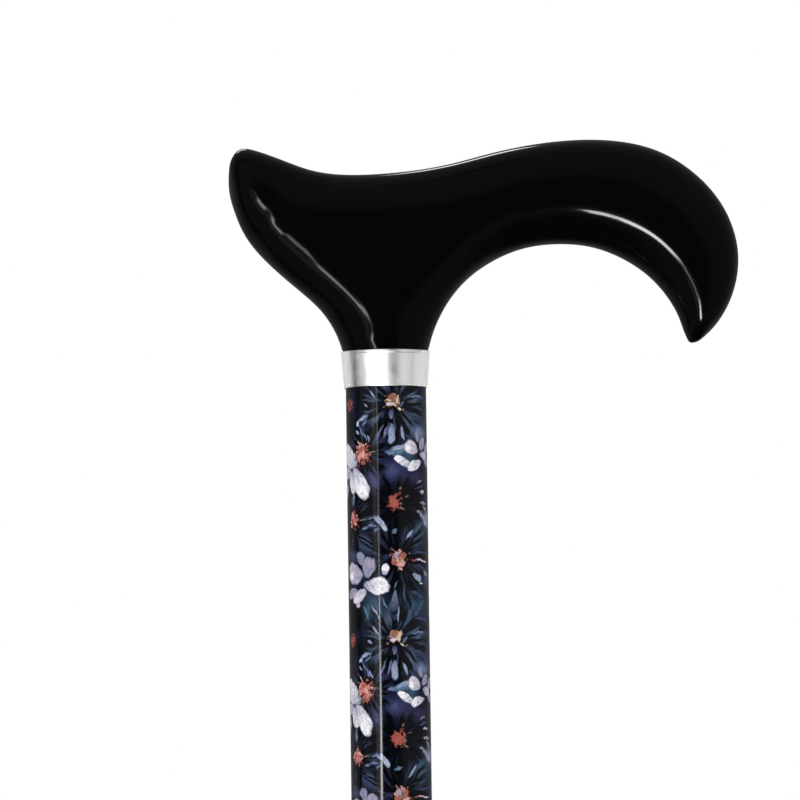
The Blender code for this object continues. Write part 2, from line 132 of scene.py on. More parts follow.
class Nodes:
    """Adds nodes to one tree. A value for a node is a socket, which is linked, or a plain value."""

    def __init__(self, tree, shader=None):
        self.tree = tree
        self.shader = shader

    def put(self, socket, value):
        if isinstance(value, bpy.types.NodeSocket):
            self.tree.links.new(value, socket)
        else:
            socket.default_value = (*value, 1.0) if socket.type == "RGBA" else value

    def fill(self, node, **values):
        """Give values to a node's inputs by their names."""
        for label, value in values.items():
            self.put(node.inputs[label.replace("_", " ")], value)
        return node

    def drive(self, label, value):
        """Give a value to one of the shader's inputs."""
        self.put(self.shader.inputs[label], value)

    def new(self, kind, *values, **settings):
        """A node, with its settings and the values of its first inputs."""
        node = self.tree.nodes.new("ShaderNode" + kind)
        for name, setting in settings.items():
            setattr(node, name, setting)
        for socket, value in zip(node.inputs, values):
            self.put(socket, value)
        return node

    def calc(self, operation, *values):
        return self.new("Math", *values, operation=operation).outputs[0]

    def times(self, first, second):
        return self.calc("MULTIPLY", first, second)

    def times_plus(self, first, second, third):
        return self.calc("MULTIPLY_ADD", first, second, third)

    def vector_calc(self, operation, *values):
        node = self.new("VectorMath", *values, operation=operation)
        return node.outputs["Value" if operation in ("LENGTH", "DOT_PRODUCT") else "Vector"]

    def dot(self, first, second):
        return self.vector_calc("DOT_PRODUCT", first, second)

    def minus(self, first, second):
        return self.vector_calc("SUBTRACT", first, second)

    def length(self, vector):
        return self.vector_calc("LENGTH", vector)

    def scaled(self, vector, factor):
        return self.fill(self.new("VectorMath", vector, operation="SCALE"), Scale=factor).outputs[0]

    def point(self):
        return self.new("TexCoord").outputs["Object"]

    def split(self, vector):
        return self.new("SeparateXYZ", vector).outputs

    def joined(self, x=0.0, y=0.0, z=0.0):
        return self.new("CombineXYZ", x, y, z).outputs[0]

    def mixed(self, factor, first, second, blend="MIX"):
        """Two colours mixed. A colour is a socket or a tuple (r, g, b)."""
        node = self.new("Mix", factor, data_type="RGBA", blend_type=blend)
        self.put(node.inputs[6], first)
        self.put(node.inputs[7], second)
        return node.outputs[2]

    def ramp(self, value, low, high, start=0.0, end=1.0):
        """A smooth step from start to end as the value goes from low to high."""
        return self.new("MapRange", value, low, high, start, end, interpolation_type="SMOOTHSTEP").outputs[0]

    def slope(self, value, low, high):
        """A straight ramp from 0 at low to 1 at high, for a mix's factor, which is held between 0 and 1."""
        return self.times_plus(value, 1 / (high - low), -low / (high - low))

    def held(self, value):
        return self.calc("MINIMUM", self.calc("MAXIMUM", value, 0.0), 1.0)

    def part(self, vector, axis):
        """One component. It keeps the print's long shader small, where Separate XYZ doesn't."""
        return self.dot(vector, tuple(float(i == axis) for i in range(3)))

    def noise(self, vector, scale, detail=2.0, roughness=0.5, distortion=0.0, colour=False):
        node = self.fill(self.new("TexNoise"), Vector=vector, Scale=scale, Detail=detail)
        self.fill(node, Roughness=roughness, Distortion=distortion)
        return node.outputs[1 if colour else 0]

    def rough(self, value, least, most):
        """The roughness goes from least to most with a noise."""
        self.drive("Roughness", self.ramp(value, 0.3, 0.7, least, most))

    def bump(self, height, distance, strength=1.0):
        node = self.fill(self.new("Bump"), Strength=strength, Distance=distance, Height=height)
        self.drive("Normal", node.outputs[0])


def new_material(name, **values):
    """A Principled material with plain values on the shader's own sockets, its nodes, and the point."""
    made = bpy.data.materials.new(name)
    made.use_nodes = True
    n = Nodes(made.node_tree, made.node_tree.nodes["Principled BSDF"])
    n.fill(n.shader, **values)
    return made, n, n.point()


# ---------------- mesh helpers

def in_scene(name, data):
    obj = bpy.data.objects.new(name, data)
    bpy.context.scene.collection.objects.link(obj)
    return obj


def link(name, mesh, material):
    mesh.materials.append(material)
    return in_scene(name, mesh)


def turned(name, outline, sides=TURN_SIDES, shape=None):
    """Turn a closed outline of (radius, height) points round Z. shape() scales the radius."""
    verts, faces, rings = [], [], []
    for radius, height in outline:
        count = sides if radius else 1
        rings.append([len(verts) + i for i in range(count)])
        for i in range(count):
            turn = 2 * math.pi * i / sides
            reach = radius * (shape(turn, radius, height) if shape else 1)
            verts.append((reach * math.cos(turn), reach * math.sin(turn), height))
    for ring, following in zip(rings, rings[1:] + rings[:1]):
        for i in range(sides):
            corners = [ring[i % len(ring)], ring[(i + 1) % sides % len(ring)]]
            corners += [following[(i + 1) % sides % len(following)], following[i % len(following)]]
            distinct = list(dict.fromkeys(corners))
            if len(distinct) > 2:
                faces.append(distinct)
    mesh = bpy.data.meshes.new(name)
    mesh.from_pydata(verts, [], faces)
    return crisp(mesh)


def rounded(outline, radius, steps=4):
    """An outline with each corner turned into a small arc, smaller where its sides are short."""
    points = [Vector(point) for point in outline]
    out = []
    for i, corner in enumerate(points):
        before, after = points[i - 1] - corner, points[(i + 1) % len(points)] - corner
        bends = before.length and after.length and before.angle(after) < math.radians(175)
        if corner.x == 0 or not bends:
            out.append(tuple(corner))
            continue
        reach = min(radius, before.length * 0.45, after.length * 0.45)
        start, end = corner + before.normalized() * reach, corner + after.normalized() * reach
        for k in range(steps + 1):
            t = k / steps
            point = start * (1 - t) ** 2 + corner * 2 * t * (1 - t) + end * t ** 2
            out.append((point.x, point.y))
    return out


def filled(mesh, work):
    """The mesh with what was worked on."""
    work.to_mesh(mesh)
    work.free()
    return mesh


def outward(mesh):
    work = bmesh.new()
    work.from_mesh(mesh)
    bmesh.ops.recalc_face_normals(work, faces=work.faces)
    filled(mesh, work).shade_smooth()


def crisp(mesh):
    """Smooth shading with sharp edges."""
    outward(mesh)
    mesh.set_sharp_from_angle(angle=SHARP_ANGLE)
    return mesh


def drilled(obj, radius, start, end):
    """Cut a round hole between two points."""
    start, end = Vector(start), Vector(end)
    outline = ((0, 0), (radius, 0), (radius, (end - start).length), (0, (end - start).length))
    tool = in_scene("tool", turned("tool", outline, SMALL_SIDES))
    aim = (end - start).to_track_quat("Z", "Y").to_matrix().to_4x4()
    tool.matrix_world = Matrix.Translation(start) @ aim
    hole = obj.modifiers.new("hole", "BOOLEAN")
    hole.operation = "DIFFERENCE"
    hole.solver = "EXACT"
    hole.object = tool
    return tool


def settle(obj, tools):
    """Apply the modifiers and remove the cutters."""
    bpy.context.view_layer.update()
    made = bpy.data.meshes.new_from_object(obj.evaluated_get(bpy.context.evaluated_depsgraph_get()))
    obj.modifiers.clear()
    obj.data = made
    for tool in tools:
        bpy.data.objects.remove(tool)


def true_round(mesh, radii):
    """Give the corners that lie on round walls the wall's exact normal, so cuts leave no shading marks."""
    normals = []
    for face in mesh.polygons:
        for loop in face.loop_indices:
            point = mesh.vertices[mesh.loops[loop].vertex_index].co
            off_axis = Vector((point.x, point.y, 0))
            facing = face.normal.dot(off_axis.normalized())
            on_wall = any(abs(off_axis.length - radius) < 0.02 * MM for radius in radii)
            if on_wall and abs(facing) > 0.97:
                normals.append(off_axis.normalized() * math.copysign(1, facing))
            else:
                normals.append(face.normal.copy())
    mesh.normals_split_custom_set(normals)


def place(obj, body, slot, *nodes):
    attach(obj, body)
    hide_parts(*nodes)
    return obj


# ---------------- stage, lights and camera

# The camera looks up a little, with a long lens, and sees 219 mm of the cane's top from side to side
VIEW_WIDTH = 0.2192
LENS = 300.0
SENSOR = 36.0
LOOK_UP = math.radians(3.5)
ROLL = math.atan(0.0141)
# The middle of the view, measured from the shaft's axis at the collar's top: right and up
VIEW_CENTRE = (0.0040, -0.0132)


def make_camera():
    data = bpy.data.cameras.new("camera")
    data.lens = LENS
    data.sensor_width = SENSOR
    camera = in_scene("camera", data)
    forward = Vector((0, math.cos(LOOK_UP), math.sin(LOOK_UP)))
    level_up = Vector((0, -math.sin(LOOK_UP), math.cos(LOOK_UP)))
    side = Vector((1, 0, 0))
    right = side * math.cos(ROLL) - level_up * math.sin(ROLL)
    up = side * math.sin(ROLL) + level_up * math.cos(ROLL)
    middle = Vector((0, 0, COLLAR_TOP_Z)) + right * VIEW_CENTRE[0] + up * VIEW_CENTRE[1]
    distance = VIEW_WIDTH * LENS / SENSOR
    axes = Matrix((right, up, -forward)).transposed().to_4x4()
    camera.matrix_world = Matrix.Translation(middle - forward * distance) @ axes
    bpy.context.scene.camera = camera


def emitting(name, strength):
    made = bpy.data.materials.new(name)
    made.use_nodes = True
    made.node_tree.nodes.clear()
    n = Nodes(made.node_tree)
    n.shader = n.new("Emission")
    n.drive("Strength", strength)
    n.new("OutputMaterial", n.shader.outputs[0])
    return made, n


def dome(name, radius, material, camera, glossy):
    """A huge stage sphere that only the camera, or only reflections, can see."""
    work = bmesh.new()
    bmesh.ops.create_icosphere(work, subdivisions=5, radius=radius)
    mesh = filled(bpy.data.meshes.new(name), work)
    mesh.shade_smooth()
    obj = link(name, mesh, material)
    obj.visible_camera = camera
    obj.visible_glossy = glossy
    for ray in ("diffuse", "transmission", "volume_scatter", "shadow"):
        setattr(obj, "visible_" + ray, False)


def reflected_room(n):
    """What gloss reflects: pale round the sides, dark in front and below, and a dark screen at the left."""
    direction = n.vector_calc("NORMALIZE", n.point())
    x, y, z = n.split(direction)
    toward_camera = n.times(y, -1.0)
    from_front = n.times(n.calc("ARCCOSINE", toward_camera), 180 / math.pi)
    azimuth = n.times(n.calc("ARCTAN2", x, toward_camera), 180 / math.pi)
    sides = n.ramp(from_front, 22.0, 40.0, 0.005, 0.14)
    behind = n.ramp(from_front, 100.0, 140.0, 0.0, 0.03)
    off_screen = n.calc("ABSOLUTE", n.calc("ADD", azimuth, 93.0))
    screen = n.ramp(off_screen, 5.0, 16.0, 0.22, 1.0)
    below = n.ramp(z, -0.90, -0.55, 0.05, 1.0)
    strength = n.times(n.times(n.calc("ADD", sides, behind), screen), below)
    n.drive("Strength", strength)


def rectangle_light(name, size, diffuse=False):
    """An area light that the camera doesn't see."""
    data = bpy.data.lights.new(name, "AREA")
    data.shape = "RECTANGLE"
    data.size, data.size_y = size
    obj = in_scene(name, data)
    obj.visible_camera = False
    obj.visible_diffuse = diffuse
    return obj


def area_light(name, place_at, size, power, aim, glossy=True, diffuse=True):
    obj = rectangle_light(name, size, diffuse)
    obj.data.energy = power
    obj.location = place_at
    obj.rotation_mode = "QUATERNION"
    obj.rotation_quaternion = (Vector(aim) - Vector(place_at)).to_track_quat("-Z", "Y")
    obj.visible_glossy = glossy
    return obj


def around(azimuth, distance, z):
    """A point round the shaft: azimuth 0 is the camera's side, and it grows to the right."""
    turn = math.radians(azimuth)
    return (distance * math.sin(turn), -distance * math.cos(turn), z)


# A bent strip light at the left. Each stretch gives how far right of the shaft the spot that mirrors it
# is, the distance from there, its ends (azimuth, elevation), its width in degrees, and its radiance.
GLINT_Z = COLLAR_TOP_Z + 0.027
REAR_RADIANCE = 5.0
GLINT_STRIPS = (
    (-0.02, 2.2, (-28, 6), (-25, -1), 4.0, 1.6),
    (-0.02, 2.2, (-25, -1.5), (-30, -7), 4.0, 12.0),
    (-0.01, 2.2, (-30, -7), (-22.5, -17), 4.0, 11.5),
    (0.03, 0.95, (-21.5, -15), (-17, -27.5), 3.5, 6.5),
    (0.06, 0.95, (-17, -27.5), (-10, -34), 5.5, 50.0),
    (0.07, 0.95, (-10, -34), (-4.5, -37.5), 5.5, 40.0),
    # the faint glow along its left side
    (-0.02, 2.2, (-36, 6), (-37, -7), 11.0, 0.4),
    (-0.01, 2.2, (-37, -7), (-33, -16), 11.0, 0.45),
    (0.03, 0.95, (-33, -16), (-25, -29), 9.0, 0.5),
)


def glint_strip(from_x, distance, start, end, width, radiance):
    spot = Vector((from_x, 0, GLINT_Z))
    ends = []
    for azimuth, elevation in (start, end):
        level = distance * math.cos(math.radians(elevation))
        ends.append(spot + Vector(around(azimuth, level, distance * math.sin(math.radians(elevation)))))
    top, bottom = ends
    obj = rectangle_light("glint_strip", (distance * math.radians(width), (top - bottom).length))
    obj.data.energy = radiance * math.pi * obj.data.size * obj.data.size_y
    middle = (top + bottom) / 2
    up = (top - bottom).normalized()
    back = (middle - spot).normalized()
    back = (back - up * back.dot(up)).normalized()
    axes = Matrix((up.cross(back), up, back)).transposed().to_4x4()
    obj.matrix_world = Matrix.Translation(middle) @ axes


# White cards all round that only the bright metal mirrors: azimuth, width in degrees, and radiance. The
# gap right of the front card and the gap at the left leave the dark stripes that polished metal shows.
CARDS = (
    (-20.5, 59, 1.06),
    (52, 38, 0.56),
    (108, 60, 0.56),
    (168, 56, 0.58),
    (-132.5, 57, 0.58),
    (-69, 22, 0.32),
)


def white_cards(*bright):
    shows_in = bpy.data.collections.new("cards_show_in")
    for obj in bright:
        shows_in.objects.link(obj)
    distance, tall = 1.5, 1.2
    for azimuth, wide, radiance in CARDS:
        size = (2 * distance * math.tan(math.radians(wide / 2)), tall)
        power = radiance * math.pi * size[0] * size[1]
        spot = around(azimuth, distance, COLLAR_TOP_Z - 0.09)
        card = area_light("white_card", spot, size, power, (0, 0, COLLAR_TOP_Z), diffuse=False)
        card.light_linking.receiver_collection = shows_in


def make_stage():
    scene = bpy.context.scene
    scene.view_settings.view_transform = "Standard"
    world = bpy.data.worlds.new("studio")
    world.use_nodes = True
    n = Nodes(world.node_tree, world.node_tree.nodes["Background"])
    n.fill(n.shader, Color=(0.97, 0.98, 1.0), Strength=0.80)
    scene.world = world
    dome("white_backdrop", 26.0, emitting("backdrop", 1.0)[0], True, False)
    room, n = emitting("room", 1.0)
    reflected_room(n)
    dome("reflected_room", 24.0, room, False, True)
    pale, n, point = new_material(
        "floor", Base_Color=(0.82, 0.82, 0.83), Roughness=0.8, Specular_IOR_Level=0.0
    )
    n.bump(n.noise(point, 60.0, 3.0), 0.0005, 0.1)
    # far off, the floor glows up to the backdrop's white, so that no horizon shows
    x, y, _ = n.split(point)
    far = n.length(n.joined(x, y))
    n.drive("Emission Strength", n.ramp(far, 0.8, 5.0, 0.0, 0.45))
    work = bmesh.new()
    bmesh.ops.create_circle(work, cap_ends=True, segments=96, radius=9.0)
    floor = link("floor", filled(bpy.data.meshes.new("floor"), work), pale)
    floor.location.z = -0.0001
    floor.visible_glossy = False
    # the tip stays on the floor while the cane is drawn out
    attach(floor, "lower")
    middle = (0, 0, COLLAR_TOP_Z)
    for stretch in GLINT_STRIPS:
        glint_strip(*stretch)
    wide, tall = 0.9, 0.35
    power = REAR_RADIANCE * math.pi * wide * tall
    area_light("rear_gloss", around(196, 2.0, 2.4), (wide, tall), power, middle, diffuse=False)
    area_light("soft_key", around(-35, 1.5, 1.6), (1.2, 1.2), 9.0, middle, glossy=False)
    area_light("soft_fill", around(60, 1.8, 1.0), (1.2, 1.6), 4.0, middle, glossy=False)


# ---------------- materials

ANODISED_BLACK = (0.030, 0.030, 0.034)
RUBBER_BLACK = (0.009, 0.009, 0.009)


def black_lacquer():
    made, n, point = new_material(
        "black_lacquer", Base_Color=(0.0016, 0.0016, 0.0018), Roughness=0.06, Specular_IOR_Level=0.18
    )
    flow = n.noise(point, 90.0, 2.0)
    n.bump(flow, 0.00002, 0.25)
    n.drive("Roughness", n.ramp(n.noise(point, 35.0, 4.0), 0.3, 0.8, 0.07, 0.11))
    return made


def polished_silver():
    made, n, point = new_material(
        "polished_silver", Base_Color=(0.97, 0.965, 0.95), Metallic=1.0, Roughness=0.24, Anisotropic=0.8,
        Anisotropic_Rotation=0.0,
    )
    x, y, z = n.split(point)
    rings = n.joined(n.times(x, 0.02), n.times(y, 0.02), z)
    n.bump(n.noise(rings, 9000.0, 3.0), 0.000003, 0.3)
    n.rough(n.noise(point, 400.0, 3.0), 0.22, 0.27)
    n.drive("Tangent", n.new("Tangent", direction_type="RADIAL", axis="Z").outputs[0])
    return made


def anodised_tube():
    """Black anodised aluminium with fine drawing lines along the tube."""
    made, n, point = new_material("anodised_tube", Base_Color=ANODISED_BLACK, Metallic=0.7, Roughness=0.34)
    x, y, z = n.split(point)
    drawn = n.joined(x, y, n.times(z, 0.01))
    n.bump(n.noise(drawn, 3500.0, 3.0), 0.000006, 0.4)
    n.rough(n.noise(point, 120.0, 5.0), 0.30, 0.42)
    return made


def anodised_ring():
    """The same finish over a turned part: lines run round, and the crests of the flutes are a little worn."""
    made, n, point = new_material("anodised_ring", Base_Color=ANODISED_BLACK, Metallic=0.7, Roughness=0.38)
    x, y, z = n.split(point)
    lines = n.joined(n.times(x, 0.02), n.times(y, 0.02), z)
    n.bump(n.noise(lines, 7000.0, 2.0), 0.000006, 0.4)
    from_axis = n.length(n.joined(x, y))
    crest = n.ramp(from_axis, RING_HIGH.x - 0.00012, RING_HIGH.x)
    patchy = n.ramp(n.noise(point, 1100.0, 5.0, 0.65), 0.52, 0.80)
    worn = n.times(n.times(crest, patchy), 0.35)
    n.drive("Base Color", n.mixed(worn, ANODISED_BLACK, (0.110, 0.110, 0.116)))
    n.rough(n.noise(point, 120.0, 5.0), 0.34, 0.46)
    return made


def metal(name, colour, roughness, tint):
    made, n, point = new_material(name, Base_Color=colour, Metallic=1.0, Roughness=roughness)
    cloud = n.noise(point, 500.0, 4.0)
    n.drive("Base Color", n.mixed(cloud, colour, tint))
    n.rough(cloud, roughness * 0.8, roughness * 1.3)
    n.bump(n.noise(point, 2500.0, 3.0), 0.000005, 0.3)
    return made


def turned_hardwood():
    made, n, point = new_material("turned_hardwood", Base_Color=(0.5, 0.3, 0.15), Roughness=0.6)
    x, y, z = n.split(point)
    grain = n.joined(x, y, n.times(z, 0.06))
    lines = n.noise(grain, 900.0, 4.0, 0.6, 0.4)
    n.drive("Base Color", n.mixed(n.ramp(lines, 0.35, 0.65), (0.60, 0.40, 0.22), (0.38, 0.21, 0.10)))
    n.bump(lines, 0.00004, 0.4)
    return made


def moulded(name, colour, roughness):
    """Moulded plastic with a fine matt grain."""
    made, n, point = new_material(name, Base_Color=colour, Roughness=roughness, Specular_IOR_Level=0.25)
    grain = n.noise(point, 1800.0, 2.0)
    worn = n.noise(point, 90.0, 5.0)
    lighter = tuple(channel * 1.25 + 0.003 for channel in colour)
    n.drive("Base Color", n.mixed(worn, colour, lighter))
    n.rough(worn, roughness * 0.85, roughness * 1.1)
    n.bump(grain, 0.00002, 0.35)
    return made


def scuffed_rubber():
    """Matt black rubber, with speckled dust all over, more of it at the greyer, scuffed lower edge."""
    made, n, point = new_material(
        "scuffed_rubber", Base_Color=RUBBER_BLACK, Roughness=0.7, Specular_IOR_Level=0.2
    )
    _, _, z = n.split(point)
    speckle = n.noise(point, 900.0, 5.0, 0.65)
    low = n.ramp(z, FERRULE_LOW.z + 0.0100, FERRULE_LOW.z + 0.0005, 0.12, 0.75)
    dust = n.times(n.ramp(speckle, 0.45, 0.75), low)
    n.drive("Base Color", n.mixed(dust, RUBBER_BLACK, (0.055, 0.053, 0.050)))
    n.rough(speckle, 0.62, 0.82)
    n.bump(n.noise(point, 2600.0, 3.0), 0.00005, 0.5)
    return made


# ---------------- the printed flowers

PAINT = {
    "black": "07080c", "soot": "0e1119", "navy": "171d33", "indigo": "282d50",
    "plum": "2f2b4c", "dusk": "45476c", "slate": "3a4562", "deep_teal": "2b3f55", "teal": "3b5368",
    "steel": "6a7b9b", "sky": "587690", "mist": "94a2c0", "pale": "b4bad2", "ash": "8f8fa6",
    "grey_lilac": "a49bb2", "lilac": "cbc1d2", "blush": "eae0e8", "white": "fcf8fc", "rust": "6a3733",
    "umber": "7c6052", "orange": "9c6350", "coral": "a9584e", "rose": "d59f97", "cream": "dcc6ac",
    "khaki": "8d8366",
}

